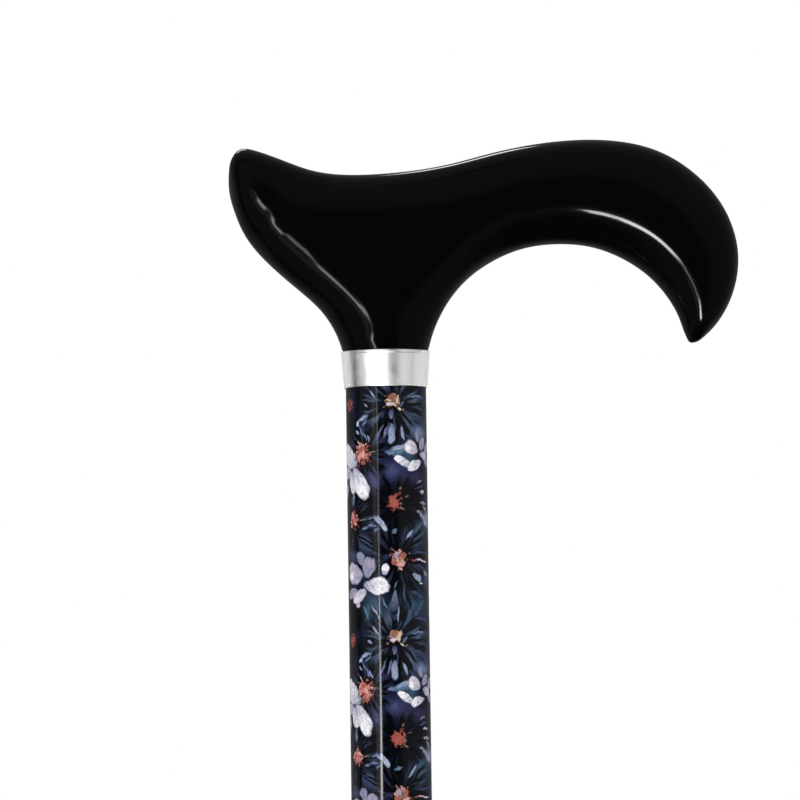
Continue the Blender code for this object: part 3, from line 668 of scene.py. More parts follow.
# Every layer is painted over the one before: the point (u, v) that its repeats wrap round, the kind of
# mark, and the marks. A mark is its u, v, half length, half width, turn in degrees and paint. A flower
# or an eye is its u, v, radius, paint and second paint.
PRINT_LAYERS = (
    (0, -30, "wash", """
    8 -20.5 7.5 4.5 -12 slate; 10.5 -22.6 3.6 1.8 -8 steel; 2 -32.8 7.5 4.6 0 indigo;
    1.2 -33 2.6 2.2 0 dusk; 8.2 -35 4.4 2 0 plum; -4 -35.5 1.7 4 8 dusk; 6.2 -28.4 2.6 3.4 0 teal;
    -2.4 -25.4 3 2.6 0 plum; -1 -28.2 2 1.6 0 indigo; -7 -21.3 2.6 3.4 10 navy;
    9.5 -13.2 5 1.6 0 deep_teal"""),
    (0, -60, "wash", """
    9.5 -50 5 3.6 30 deep_teal; -4.2 -70.3 3.6 4.6 0 teal; 7.5 -69.5 7 5.6 0 deep_teal;
    1.6 -70 3.2 5 0 navy; -7 -53.2 4.6 2.2 -25 slate; -11.6 -56 3 2.2 0 slate; 13.4 -62.5 2.4 3 0 slate;
    14 -46.2 2.6 2.4 -30 ash; -4.2 -47.6 3 2.2 0 slate"""),
    (0, -28, "flower", """
    1.9 -15 10.5 soot steel; -7.2 -28.4 8 black slate"""),
    (-4, -50, "flower", """
    3 -57.2 10.5 black slate; -10.8 -46.6 9 black slate; 2.4 -42.6 8.2 black navy"""),
    # the petals and streaks under the upper dark flower
    (2, -22, "blade", """
    -2.7 -20.6 3.9 1 63 black; -0.6 -21.2 3.6 0.8 72 black; 2.9 -22.2 4.4 0.8 93 black;
    4.1 -19.6 3.4 0.7 108 black; 8.2 -15 5 0.6 2 black; 9.5 -17.6 4.6 0.6 -14 soot;
    4.45 -22.9 2.2 0.5 106 mist; -0.2 -22.3 2.6 0.34 70 steel; -1.9 -22.4 2.8 0.4 64 steel;
    -2.9 -23.6 1.8 0.34 66 dusk; 4.5 -14.9 1.5 0.42 52 sky; 9 -12.9 3.2 0.42 4 steel;
    10.4 -16.2 3.4 0.34 -10 slate; 8 -18.6 3 0.34 -24 slate; -4 -12.1 1.9 0.4 -43 mist;
    -5.7 -15.3 0.9 0.4 -35 mist; 6 -21.6 2 0.5 -60 black; 7 -24.6 2.6 0.5 -40 slate"""),
    (2, -22, "petal", """
    1.35 -23.1 3 1.1 270 mist; 1.35 -17.8 1.3 0.7 90 dusk"""),
    # curled petals at the left
    (-6, -24, "blade", """
    -7.2 -18.9 2.4 0.62 24 mist; -6.3 -20 1.7 0.42 42 steel; -8.7 -20.2 1.1 0.7 60 pale;
    -7.5 -22 1.9 0.42 -64 steel; -8.8 -22.6 1 0.4 -40 mist; -6.2 -23.7 1.6 0.42 -74 steel;
    -5.3 -24.2 1.2 0.34 -68 mist; -7 -21.2 1.6 0.8 -50 indigo; -5.6 -18.6 1 0.34 60 sky;
    -5.2 -21.6 2 0.4 50 navy; -9.6 -24.2 1.4 0.4 -20 plum"""),
    # light streaks round the middle dark flower
    (8, -42, "blade", """
    10 -36.2 1.6 0.3 18 ash; 11.3 -38.9 1.4 0.62 4 pale; 11.8 -41.7 2 0.62 -10 ash;
    12.6 -43.3 1.7 0.46 -36 grey_lilac; 11.5 -45.7 3.4 0.8 -33 ash; 9.4 -44.3 1 0.46 4 ash;
    13.4 -47.3 2.4 0.8 -22 grey_lilac; 9.4 -40.2 3.4 0.6 8 black; 9 -42.9 3.2 0.6 -14 black;
    7.6 -37.8 3.6 0.6 26 black; 10.2 -37.6 2.2 0.34 10 slate; 4 -47 2.2 0.9 -70 black"""),
    # streaks and curled petals round the left flower's lower side
    (-4, -50, "blade", """
    -11 -40.6 2.4 0.5 88 steel; -9.4 -42.4 1.8 0.4 70 navy; -6.6 -48.6 1.4 0.46 8 steel;
    -5.8 -46.2 1.4 0.3 30 slate; -4.3 -46 1.5 0.42 24 steel; -4.6 -48.3 1.7 0.46 -6 steel;
    -3.4 -49.5 1 0.36 30 sky; -6.5 -51.3 3.3 0.42 -25 slate; -6.2 -52.7 3.6 0.42 -28 slate;
    -5.8 -54.1 3.2 0.42 -31 slate; -6.3 -52 3.4 0.36 -26 black; -6 -53.4 3.4 0.36 -29 black;
    -3 -51.4 1.8 0.5 -50 black; 1.9 -49.7 1.1 0.6 28 sky; -5 -50 2.6 0.4 -14 navy"""),
    (-4, -50, "petal", """
    -1.7 -47.6 2.5 0.85 -60 pale; -2.9 -46.7 1.4 0.6 -40 mist"""),
    # petals and streaks of the lower dark flower
    (5, -60, "blade", """
    6.2 -50.6 2.4 0.5 50 mist; 9.2 -48.8 3.6 0.9 36 teal; 9.8 -51.1 3.2 0.6 28 teal;
    9.5 -53.3 3.8 0.46 16 deep_teal; 10.3 -55.3 3.8 0.44 6 slate; 10.6 -57.5 3.4 0.34 -3 lilac;
    7.6 -57.4 1.2 0.24 3 coral; 10.5 -59.4 3.8 0.42 -12 slate; 10.4 -58.4 4.2 0.36 -7 black;
    10 -56.4 4.2 0.36 2 black; 12.6 -60.9 1.5 0.8 -30 ash; 10.4 -63.6 1.4 0.26 12 lilac;
    9.4 -60.9 3.4 0.5 -34 black; 4.4 -66.3 2.8 0.44 100 teal; 1.9 -64.2 1.3 0.24 60 steel;
    2.6 -72.2 2.6 0.3 88 mist; 0.2 -70.2 3 0.5 76 teal; 6.4 -71.2 4.2 0.7 62 teal;
    9.4 -70.6 3.8 0.7 52 teal; 5.6 -68.2 3.8 0.8 108 black; 7.4 -65 3.2 0.7 -52 black;
    1.4 -63.2 3.4 0.8 76 black; 3.4 -64.6 4.2 0.7 96 black; -0.5 -56.7 1.3 1 0 indigo;
    0.4 -53.6 3.4 0.8 -48 black; 3.2 -52.4 3.4 0.8 88 black; 8.6 -66.8 3.2 0.5 -20 slate;
    10.6 -73.4 3.4 0.5 -6 slate; 3.8 -73.4 2.6 0.7 80 black"""),
    (5, -60, "petal", """
    8.8 -62.1 1.8 0.85 -38 mist; 1.5 -69.6 4.2 1.1 268 navy"""),
    (-4, -66, "blade", """
    -5.4 -70.3 4 0.9 68 teal; -3.9 -71.5 2.7 0.4 -62 mist; -6.4 -71.6 2.3 0.6 -70 sky;
    -2.2 -71 3.2 0.6 -78 deep_teal; -1.2 -69.2 2.6 0.4 -70 sky; -4.7 -73.4 2.2 0.4 60 navy"""),
    # the flowers' eyes
    (0, -28, "eye", """
    1.7 -14.2 2.1 umber cream; -7.2 -28.6 2.9 coral rose; -12.3 -14.9 1.9 rust coral"""),
    (0, -50, "eye", """
    2.1 -41.7 2.3 coral coral; -10.8 -46.5 2.3 coral rose; 3 -57.3 2.6 umber rose"""),
    (0, -28, "dab", """
    1.5 -12.9 1.1 0.95 10 orange; 3.1 -13.5 1.35 0.36 82 cream; 0.9 -14.9 1 0.55 0 lilac;
    3.7 -16.2 0.75 0.34 -40 cream; 4.8 -16.5 0.55 0.3 20 umber; -0.6 -15.8 0.45 0.3 40 umber;
    2 -15.9 1.1 0.45 0 black; -7 -28.5 0.8 1 20 rose; -7.8 -27.2 0.9 0.6 40 coral;
    -6.7 -31 0.8 0.4 20 coral"""),
    (0, -28, "blade", """
    -8.6 -25.3 1.2 0.22 -58 cream; -4.2 -28 1.8 0.2 2 khaki; -9.2 -26.4 1.2 0.26 -30 coral;
    -5.2 -30.2 1.3 0.4 -28 rust; -8.4 -31.6 1.2 0.34 60 rust; -5.6 -26.6 1.2 0.28 48 coral"""),
    (0, -50, "dab", """
    2.2 -42.3 1.2 1 30 coral; 1.2 -40.9 0.7 0.65 0 coral; 4.2 -43.7 1.1 0.3 -14 umber;
    3.9 -42.2 0.55 0.45 0 umber; 3.1 -39.3 0.75 0.55 30 rust; 3.5 -38 0.5 0.34 50 umber;
    5.6 -40.1 0.6 0.24 20 umber; 4.3 -56.5 0.95 1.1 0 orange; 2.3 -56.2 0.7 1 15 grey_lilac;
    4 -58.6 1.3 0.7 14 rose; 1.9 -58.1 1 0.7 -20 coral; 1.5 -54.7 0.7 0.3 -40 umber;
    3.4 -59.9 0.6 0.45 0 rose; 3 -40.6 0.5 0.7 20 black"""),
    (0, -50, "blade", """
    -7.3 -46.4 1.3 0.22 16 khaki; -10.6 -44.4 1 0.3 70 coral; -9 -48 1.1 0.3 -40 rust"""),
    # the slate leaf, and the small white flower at the right
    (8, -28, "blade", """
    2.9 -27.9 3.8 1.3 6 sky; 4 -26.8 2.4 0.8 12 mist; 0.9 -28.4 1.6 0.5 -4 steel;
    3.2 -27.5 2.2 0.16 8 pale"""),
    (10, -28, "petal", """
    9.6 -23.7 1.6 1 100 ash; 14.8 -26.6 2.2 1.6 30 grey_lilac; 11.6 -25.7 2 1.4 62 grey_lilac;
    14.6 -30.4 2.2 1.3 -20 grey_lilac; 12.4 -28.8 2.1 1.35 -6 lilac; 4.5 -30.6 3 1.15 150 white;
    7.4 -26.9 2.4 2 160 blush; 8.4 -31.6 2.8 1.4 198 white"""),
    (10, -28, "dab", """
    8.5 -32 0.4 0.24 20 rust; 6.2 -27.1 0.8 1 -20 white"""),
    # the large white flower at the left edge
    (-12, -32, "petal", """
    -16.4 -38.2 3.4 2 240 blush; -12 -35.2 4 1.6 -68 blush; -15.6 -33.4 3.6 1.8 195 blush;
    -8.4 -36.2 5.2 2.5 -61 white; -13.4 -29 5.1 3.2 152 white"""),
    # the white flower with its bud
    (-7, -62, "petal", """
    -8.2 -56.8 2 1.5 118 ash; -12.2 -66.2 2.6 1.3 200 grey_lilac; -9.6 -69.2 1.2 0.9 -60 lilac;
    -5.7 -59.5 3.2 2.1 74 grey_lilac; -9 -67 3.2 1.8 208 blush; -11 -61 3.6 3.2 168 lilac;
    -3.3 -64.4 3.9 2.35 -3 white; -0.9 -60.2 1.7 1.2 80 white"""),
    (-7, -62, "dab", """
    -12.4 -61.4 1.2 1.1 0 white; -7.6 -63.4 0.5 0.4 0 soot"""),
)


def paint(name):
    """A named paint as a linear colour."""
    channels = [int(PAINT[name][i:i + 2], 16) / 255 for i in (0, 2, 4)]
    return tuple(c / 12.92 if c <= 0.04045 else ((c + 0.055) / 1.055) ** 2.4 for c in channels)


def new_group(name, inputs):
    """A node group with the given inputs, and one colour output."""
    tree = bpy.data.node_groups.new(name, "ShaderNodeTree")
    for label, kind in inputs.items():
        tree.interface.new_socket(label, in_out="INPUT", socket_type="NodeSocket" + kind)
    tree.interface.new_socket("Result", in_out="OUTPUT", socket_type="NodeSocketColor")
    return Nodes(tree), tree.nodes.new("NodeGroupInput").outputs


def laid(n, given, cover, colour):
    """End a group: its colour over what is under it."""
    output = n.tree.nodes.new("NodeGroupOutput").inputs[0]
    n.put(output, n.mixed(cover, given["Under"], colour))
    return n.tree


MARK_INPUTS = {
    "Under": "Color", "Point": "Vector", "Place": "Vector", "Along": "Vector", "Across": "Vector",
    "Paint": "Color", "Grain": "Float",
}
ROUND_INPUTS = {
    "Under": "Color", "Point": "Vector", "Place": "Vector", "Radius": "Float",
    "Paint": "Color", "Second": "Color", "Grain": "Float",
}


def own_frame(n, given):
    """How far the point is along and across a mark, which reaches from -1 to 1."""
    offset = n.minus(given["Point"], given["Place"])
    along = n.dot(offset, given["Along"])
    return along, n.dot(offset, given["Across"])


def wash_group():
    """A soft patch of thin paint."""
    n, given = new_group("wash", MARK_INPUTS)
    inside = n.joined(*own_frame(n, given))
    thickness = n.times(n.dot(inside, inside), -1.9)
    cover = n.times(n.calc("EXPONENT", thickness), 1.15)
    return laid(n, given, cover, given["Paint"])


def dab_group():
    """A crisp oval."""
    n, given = new_group("dab", MARK_INPUTS)
    reach = n.length(n.joined(*own_frame(n, given)))
    return laid(n, given, n.slope(reach, 1.0, 0.72), given["Paint"])


def blade_group():
    """A brush stroke that is pointed at both ends."""
    n, given = new_group("blade", MARK_INPUTS)
    along, across = own_frame(n, given)
    reach = n.times_plus(along, along, n.calc("ABSOLUTE", across))
    ragged = n.times_plus(given["Grain"], 1.5, n.calc("ADD", reach, -0.72))
    return laid(n, given, n.slope(ragged, 1.0, 0.45), given["Paint"])


def petal_group():
    """A veined petal, darker at its base, with a thin dark outline."""
    n, given = new_group("petal", MARK_INPUTS)
    along, across = own_frame(n, given)
    veins = given["Grain"]
    egg = n.calc("DIVIDE", across, n.times_plus(along, 0.22, 0.96))
    reach = n.length(n.joined(along, egg))
    reach = n.calc("ADD", reach, n.times_plus(veins, 0.26, -0.13))
    lit = n.mixed(n.slope(along, 0.5, -1.5), given["Paint"], paint("ash"))
    vein_depth = n.held(n.times_plus(along, -0.5, 0.55))
    veined = n.mixed(n.times(n.held(n.slope(veins, 0.48, 0.66)), vein_depth), lit, paint("steel"))
    outlined = n.mixed(n.times(n.held(n.slope(reach, 0.80, 0.96)), 0.72), veined, paint("slate"))
    return laid(n, given, n.slope(reach, 1.0, 0.93), outlined)


def flower_group():
    """A dark flower: narrow petals round a black heart, with lighter streaks between them."""
    n, given = new_group("flower", ROUND_INPUTS)
    offset = n.minus(given["Point"], given["Place"])
    reach = n.length(offset)
    far = n.calc("DIVIDE", reach, given["Radius"])
    turn = n.calc("ARCTAN2", n.part(offset, 1), n.part(offset, 0))
    seed = n.dot(given["Place"], (0.7, 1.3, 0.0))
    spokes = 0.5
    for count, twist, depth in ((7, 0.25, 0.20), (13, -0.20, 0.22), (23, 0.12, 0.16)):
        phase = n.times_plus(reach, twist, n.times(seed, float(count)))
        wave = n.calc("SINE", n.times_plus(turn, float(count), phase))
        spokes = n.times_plus(wave, depth, spokes)
    rise = n.times(n.held(n.slope(far, 0.26, 0.75)), 0.8)
    tone = n.mixed(n.times(n.held(n.slope(spokes, 0.50, 0.80)), rise), given["Paint"], given["Second"])
    ragged = n.times_plus(spokes, 0.5, far)
    return laid(n, given, n.slope(ragged, 1.25, 0.95), tone)


def eye_group():
    """A flower's ragged eye in two paints."""
    n, given = new_group("eye", ROUND_INPUTS)
    offset = n.minus(given["Point"], given["Place"])
    far = n.calc("DIVIDE", n.length(offset), given["Radius"])
    edge = n.times_plus(given["Grain"], -2.2, n.calc("ADD", far, 1.1))
    inner = n.mixed(n.slope(given["Grain"], 0.47, 0.62), given["Paint"], given["Second"])
    shaded = n.mixed(n.slope(edge, 0.55, 0.85), inner, paint("rust"))
    return laid(n, given, n.slope(edge, 0.92, 0.78), shaded)


def wrapped(n, point, centre):
    """The repeat of the print that is nearest to the centre."""
    offset = n.minus(point, centre)
    across = n.part(offset, 0)
    turns = n.calc("ROUND", n.times(across, 1 / PRINT_HALF_TURN))
    across = n.times_plus(turns, -PRINT_HALF_TURN, across)
    up = n.times_plus(turns, -PRINT_DROP, n.part(offset, 1))
    up = n.calc("WRAP", up, PRINT_DROP, -PRINT_DROP)
    return n.vector_calc("ADD", n.joined(across, up), centre)


def veins_round(n, near, centre):
    """Veins that spread from a blossom's centre, for its petals to share."""
    offset = n.minus(near, centre)
    fan = n.scaled(n.vector_calc("NORMALIZE", offset), 3.0)
    return n.noise(n.vector_calc("ADD", fan, n.scaled(offset, 0.12)), 2.2, 2.0, 0.6)


def read_marks(text):
    """The marks that a layer's text lists, with numbers as numbers and paints as colours."""
    marks = []
    for mark in text.split(";"):
        marks.append([paint(word) if word in PAINT else float(word) for word in mark.split()])
    return marks


def paint_mark(n, colour, made, near, grain, mark):
    """One more mark over the colour so far."""
    u, v, *look = mark
    node = n.fill(n.new("Group", node_tree=made), Under=colour, Point=near, Place=(u, v, 0.0), Grain=grain)
    if len(look) == 3:
        radius, first, second = look
        n.fill(node, Radius=radius, Paint=first, Second=second)
    else:
        length, width, degrees, only = look
        cos, sin = math.cos(math.radians(degrees)), math.sin(math.radians(degrees))
        n.fill(node, Along=(cos / length, sin / length, 0.0), Across=(-sin / width, cos / width, 0.0))
        n.fill(node, Paint=only)
    return node.outputs[0]


def floral_lacquer():
    made, n, point = new_material("floral_lacquer", Roughness=0.10, Specular_IOR_Level=0.5)
    x, y, z = n.split(point)
    turn = n.calc("ARCTAN2", x, n.times(y, -1.0))
    u = n.times(turn, UPPER_R / MM)
    v = n.times(n.calc("SUBTRACT", z, COLLAR_TOP_Z), 1 / MM)
    sway = n.minus(n.noise(point, 330.0, 1.5, 0.5, colour=True), (0.5, 0.5, 0.5))
    flat = n.vector_calc("MULTIPLY_ADD", sway, (1.5, 1.5, 0.0), n.joined(u, v))
    mottle = n.noise(point, 130.0, 4.0, 0.6)
    colour = n.mixed(n.ramp(mottle, 0.40, 0.68), paint("black"), paint("navy"))
    groups = {
        "wash": wash_group(), "dab": dab_group(), "blade": blade_group(),
        "petal": petal_group(), "flower": flower_group(), "eye": eye_group(),
    }
    dapple = n.noise(point, 1000.0, 2.0, 0.65)
    for u, v, kind, text in PRINT_LAYERS:
        centre, marks = (u, v, 0.0), read_marks(text)
        near = wrapped(n, flat, centre)
        blossom = kind == "petal" and len(marks) > 3
        grain = veins_round(n, near, centre) if blossom else dapple
        for mark in marks:
            colour = paint_mark(n, colour, groups[kind], near, grain, mark)
    brush = n.ramp(n.noise(point, 1500.0, 2.0), 0.3, 0.7, 0.78, 1.12)
    n.drive("Base Color", n.mixed(1.0, colour, brush, "MULTIPLY"))
    n.rough(mottle, 0.07, 0.12)
    n.bump(n.noise(point, 250.0, 2.0), 0.00001, 0.1)
    return made


# ---------------- the handle

def subdivision_weights(count, faces):
    """The matrix that takes cage points to where Catmull-Clark subdivision leaves them."""
    near = [set() for _ in range(count)]
    far = [[] for _ in range(count)]
    for face in faces:
        for i, corner in enumerate(face):
            near[corner] |= {face[i - 1], face[(i + 1) % 4]}
            far[corner].append(face[(i + 2) % 4])
    weights = np.zeros((count, count))
    for i in range(count):
        valence = len(far[i])
        weights[i, i] = valence * valence
        weights[i, list(near[i])] += 4
        weights[i, far[i]] += 1
        weights[i] /= valence * (valence + 5)
    return weights


def section(first, last, half_thickness, fullness):
    """Six points round a section, from its first edge to its last and back."""
    start, end = np.array([first[0], 0, first[1]]), np.array([last[0], 0, last[1]])
    side = np.array([0, fullness * half_thickness, 0])
    quarter, three_quarters = start * 0.75 + end * 0.25, start * 0.25 + end * 0.75
    return [start, quarter - side, three_quarters - side, end, three_quarters + side, quarter + side]


def handle_cage():
    """The handle's surface points and four-sided faces: sections along the grip, and the neck."""
    points, grip, neck = [], [], []
    for rows, numbers, fullness in ((STATIONS, grip, GRIP_FULLNESS), (NECK_ROWS, neck, NECK_FULLNESS)):
        for first, last, half_thickness in rows:
            numbers.append([len(points) + i for i in range(6)])
            points += section(first, last, half_thickness, fullness)
    faces = []
    for k, (a, b) in enumerate(zip(grip, grip[1:])):
        for i in range(6):
            opens_to_neck = k == NECK_AFTER and i in (2, 3)
            if not opens_to_neck:
                faces.append((a[i], a[(i + 1) % 6], b[(i + 1) % 6], b[i]))
    a, b = grip[NECK_AFTER], grip[NECK_AFTER + 1]
    shoulder = [a[3], a[2], b[2], b[3], b[4], a[4]]
    for upper, lower in zip([shoulder] + neck[:-1], neck):
        for i in range(6):
            faces.append((upper[i], upper[(i + 1) % 6], lower[(i + 1) % 6], lower[i]))
    for ring in (grip[0], grip[-1], neck[-1]):
        faces += [(ring[0], ring[1], ring[2], ring[3]), (ring[3], ring[4], ring[5], ring[0])]
    return np.array(points), faces


def make_handle():
    points, faces = handle_cage()
    cage = np.linalg.solve(subdivision_weights(len(points), faces), points)
    mesh = bpy.data.meshes.new("derby_handle")
    mesh.from_pydata((cage + (0, 0, COLLAR_TOP_Z)).tolist(), [], faces)
    outward(mesh)
    handle = link("lacquered_handle", mesh, black_lacquer())
    smooth = handle.modifiers.new("round", "SUBSURF")
    smooth.levels = HANDLE_LEVELS
    smooth.render_levels = HANDLE_LEVELS
    tools = [
        drilled(handle, 2 * UPPER_R, (0, 0, HANDLE_END_Z - 0.02), (0, 0, HANDLE_END_Z)),
        drilled(handle, STUD_HOLE_R, (0, 0, HANDLE_END_Z - 0.002), (0, 0, HANDLE_END_Z + STUD_HOLE_DEPTH)),
    ]
    settle(handle, tools)
    handle.data.set_sharp_from_angle(angle=math.radians(50))
    return place(handle, "upper", "black_lacquer", "derby_handle")


# ---------------- the turned pieces

def make_collar():
    low_r = 0.01145
    rim_r = COLLAR_HIGH.x
    wall = 0.0003
    height = COLLAR_HIGH.z - COLLAR_LOW.z
    band = height * 0.90
    outline = (
        (low_r - wall, 0), (low_r, 0), (rim_r - 0.0001, band), (rim_r, band + 0.0002), (rim_r, height),
        (rim_r - wall, height), (rim_r - wall - 0.0001, band),
    )
    mesh = turned("collar", [(r, z + COLLAR_LOW.z) for r, z in rounded(outline, 0.00016)])
    return place(link("polished_collar", mesh, polished_silver()), "upper", "polished_silver", "collar")


def tube(name, low_z, high_z, outer, bore, material, holes):
    outline = ((bore, low_z), (outer, low_z), (outer, high_z), (bore, high_z))
    obj = link(name, turned(name, rounded(outline, 0.0002)), material)
    tools = [drilled(obj, radius, start, end) for radius, start, end in holes]
    settle(obj, tools)
    true_round(obj.data, (outer, bore))
    return obj


def make_upper_tube():
    holes = []
    for i in range(HOLE_COUNT):
        z = BUTTON_Z - i * HOLE_PITCH
        holes.append((HOLE_R, (0, UPPER_BORE_R / 2, z), (0, 2 * UPPER_R, z)))
    holes.append((TACK_HOLE_R, (-2 * UPPER_R, 0, TACK_Z), (2 * UPPER_R, 0, TACK_Z)))
    obj = tube("printed_tube", UPPER_LOW.z, UPPER_HIGH.z, UPPER_R, UPPER_BORE_R, floral_lacquer(), holes)
    return place(obj, "upper", "floral_lacquer", "upper_tube")


def make_lower_tube():
    hole = (HOLE_R, (0, LOWER_BORE_R / 2, BUTTON_Z), (0, 2 * LOWER_R, BUTTON_Z))
    obj = tube("sliding_tube", LOWER_LOW.z, LOWER_HIGH.z, LOWER_R, LOWER_BORE_R, anodised_tube(), [hole])
    return place(obj, "lower", "black_anodised", "lower_tube")


def wall(radius, top, bottom, rows):
    """A stretch of outline with many rows, for a thread or flutes to shape."""
    return [(radius, top + (bottom - top) * i / rows) for i in range(rows + 1)]


def make_bushing():
    """The nylon bushing: a sleeve with a screw thread, and a chamfered shoulder above it."""
    end_z, top_z = UPPER_LOW.z, BUSHING_HIGH.z
    shoulder_r = BUSHING_HIGH.x
    seat_r, bore_r = 0.0112, 0.00975
    thread_r, thread_depth, pitch = 0.0130, 0.0005, 0.0020
    thread_low, thread_high = end_z - 0.0040, end_z + 0.0146
    rows = 8 * round((thread_high - thread_low) / pitch)
    outline = [
        (seat_r, top_z), (0.0120, top_z), (shoulder_r, top_z - 0.0022), (shoulder_r, end_z + 0.0153),
        (thread_r, end_z + 0.0153),
    ]
    outline += wall(thread_r, thread_high, thread_low, rows)
    outline += [
        (thread_r, end_z - 0.0050), (0.0124, BUSHING_LOW.z), (0.0119, BUSHING_LOW.z),
        (bore_r, end_z - 0.0026), (bore_r, end_z - 0.0003), (seat_r, end_z - 0.0003),
    ]

    def thread(turn, radius, z):
        if abs(radius - thread_r) > 0.00001:
            return 1
        fade = max(0, min(1, (z - thread_low) / pitch, (thread_high - z) / pitch))
        wave = 0.5 - 0.5 * math.cos(2 * math.pi * z / pitch - turn)
        return 1 - fade * wave * thread_depth / radius

    mesh = turned("threaded_bushing", rounded(outline, 0.0003, 3), TURN_SIDES, thread)
    obj = link("bushing_shoulder", mesh, moulded("moulded_nylon", (0.010, 0.010, 0.011), 0.42))
    return place(obj, "upper", "black_nylon", "threaded_bushing")


def make_locking_ring():
    """The grip ring: scooped flutes between two plain bands, with a thin groove under the upper band."""
    flutes, depth = 24, 0.0006
    thread_r, bore_r = 0.0132, 0.00995
    outer = RING_HIGH.x
    low, high = RING_LOW.z, RING_HIGH.z
    groove_z = high - 0.0030
    flute_low, flute_high = low + 0.0022, high - 0.0040
    outline = [(thread_r, high), (outer - 0.0006, high), (outer, high - 0.0010)]
    outline += [(outer, groove_z + 0.0003), (outer - 0.0003, groove_z), (outer, groove_z - 0.0003)]
    outline += wall(outer, flute_high, flute_low, 24)
    outline += [
        (outer, low + 0.0010), (outer - 0.0006, low), (bore_r, low), (bore_r, low + 0.0030),
        (thread_r, low + 0.0030),
    ]

    def scoop(turn, radius, z):
        if not (flute_low < z < flute_high) or radius < outer - 0.0001:
            return 1
        end = 1 - abs(2 * (z - flute_low) / (flute_high - flute_low) - 1) ** 14
        wave = max(0, math.cos(flutes * turn)) ** 0.8
        return 1 - depth * end * wave / radius

    mesh = turned("locking_ring", rounded(outline, 0.00025, 3), 16 * flutes, scoop)
    obj = link("fluted_ring", mesh, anodised_ring())
    return place(obj, "ring", "black_anodised", "locking_ring")


def make_button():
    """The domed button on its flange, turned round Z and laid over towards +Y."""
    back, tip = BUTTON_LOW.y, BUTTON_HIGH.y
    flange_r = (BUTTON_HIGH.z - BUTTON_LOW.z) / 2
    radius, crown = 0.0030, 0.0014
    flange_y = back + 0.0010
    outline = [(0, back), (flange_r, back), (flange_r, flange_y), (radius, flange_y), (radius, tip - crown)]
    outline = rounded(outline, 0.00015, 3)
    outline = outline[:-4] + [(radius, tip - crown)]
    for i in range(1, 13):
        turn = math.pi / 2 * i / 12
        outline.append((radius * math.cos(turn) if i < 12 else 0, tip - crown + crown * math.sin(turn)))
    steel = metal("button_steel", (0.62, 0.62, 0.63), 0.2, (0.5, 0.5, 0.52))
    obj = link("domed_button", turned("snap_button", outline, SMALL_SIDES), steel)
    obj.data.transform(Matrix.Translation((0, 0, BUTTON_Z)) @ Matrix.Rotation(math.radians(-90), 4, "X"))
    return place(obj, "button", "button_steel", "snap_button")


def make_spring():
    """The bent leaf behind the button: two legs joined by a round bend at the bottom."""
    low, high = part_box("button_spring")
    thickness, bend_r, bend_y = 0.0007, 0.0034, -0.0006
    front_y, back_y = high.y - thickness / 2, low.y + thickness / 2
    bend_z = low.z + bend_r + thickness / 2
    steps = 24
    path = [(front_y, high.z - (high.z - bend_z - 0.004) * i / 6) for i in range(7)]
    for i in range(steps + 1):
        turn = -math.pi * i / steps
        path.append((bend_y + bend_r * math.cos(turn), bend_z + bend_r * math.sin(turn)))
    path += [(back_y, high.z + (bend_z + 0.004 - high.z) * (6 - i) / 6) for i in range(7)]
    work = bmesh.new()
    rows = []
    for k, (y, z) in enumerate(path):
        before, after = Vector(path[max(k - 1, 0)]), Vector(path[min(k + 1, len(path) - 1)])
        along = (after - before).normalized()
        off = Vector((-along.y, along.x)) * thickness / 2
        half = (high.x - low.x) / 2
        corners = ((-half, 1), (half, 1), (half, -1), (-half, -1))
        rows.append([work.verts.new((x, y + off.x * side, z + off.y * side)) for x, side in corners])
    for a, b in zip(rows, rows[1:]):
        for i in range(4):
            work.faces.new((a[i], a[(i + 1) % 4], b[(i + 1) % 4], b[i]))
    work.faces.new(rows[0])
    work.faces.new(rows[-1])
    mesh = crisp(filled(bpy.data.meshes.new("button_spring"), work))
    leaf = metal("leaf_steel", (0.34, 0.35, 0.37), 0.28, (0.24, 0.25, 0.28))
    obj = place(link("leaf_spring", mesh, leaf), "lower", "spring_steel", "button_spring")
    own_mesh(obj)
    return obj


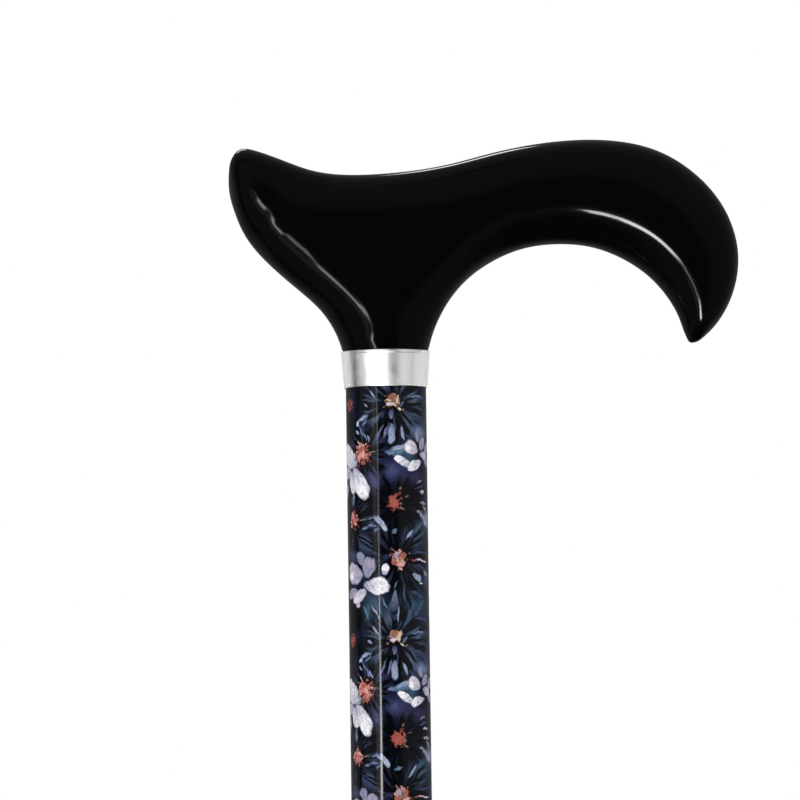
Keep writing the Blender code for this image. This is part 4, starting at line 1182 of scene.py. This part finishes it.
def make_ferrule():
    """The rubber tip: ring grooves in its tread and round its wall, a flared base and a beaded mouth."""
    base, top = FERRULE_HIGH.x, FERRULE_HIGH.z
    groove = 0.0015
    outline = [(0, 0)]
    for inner, outer in ((0.0052, 0.0082), (0.0108, 0.0138)):
        outline += [(inner, 0), (inner + 0.0006, groove), (outer - 0.0006, groove), (outer, 0)]
    outline += [
        (base - 0.0006, 0), (base, 0.0006), (base, 0.0040), (base - 0.0010, 0.0064),
        (base - 0.0030, 0.0092), (base - 0.0046, 0.0132), (base - 0.0053, 0.0200),
    ]
    for ring_z in (0.0225, 0.0265, 0.0305):
        outline += [
            (base - 0.0054, ring_z - 0.0006), (base - 0.0058, ring_z - 0.0003),
            (base - 0.0058, ring_z + 0.0003), (base - 0.0054, ring_z + 0.0006),
        ]
    outline += [
        (base - 0.0056, 0.0400), (base - 0.0048, 0.0412), (base - 0.0045, 0.0430),
        (base - 0.0047, 0.0452), (base - 0.0054, 0.0468), (base - 0.0064, top),
        (FERRULE_BORE_R + 0.0003, top), (FERRULE_BORE_R, top - 0.0003), (FERRULE_BORE_R, FERRULE_FLOOR),
        (0, FERRULE_FLOOR),
    ]
    obj = link("rubber_tip", turned("ferrule", rounded(outline, 0.0006)), scuffed_rubber())
    return place(obj, "lower", "black_rubber", "ferrule")


def refinish():
    """Procedural finishes on the small CAD pieces that stay as they are."""
    zinc = metal("plated_steel", (0.60, 0.60, 0.58), 0.32, (0.46, 0.46, 0.44))
    white = moulded("natural_nylon", (0.78, 0.77, 0.73), 0.45)
    finishes = (
        (zinc, ("handle_stud", "plug_tack_left", "plug_tack_right", "ferrule_washer")),
        (turned_hardwood(), ("shaft_plug",)),
        (white, ("tube_guide", "clamp_ring")),
    )
    for made, nodes in finishes:
        for node in nodes:
            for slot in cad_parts[node].material_slots:
                slot.material = made


make_camera()
make_stage()
make_handle()
collar = make_collar()
make_upper_tube()
make_lower_tube()
make_bushing()
make_locking_ring()
white_cards(collar, make_button())
make_spring()
make_ferrule()
refinish()
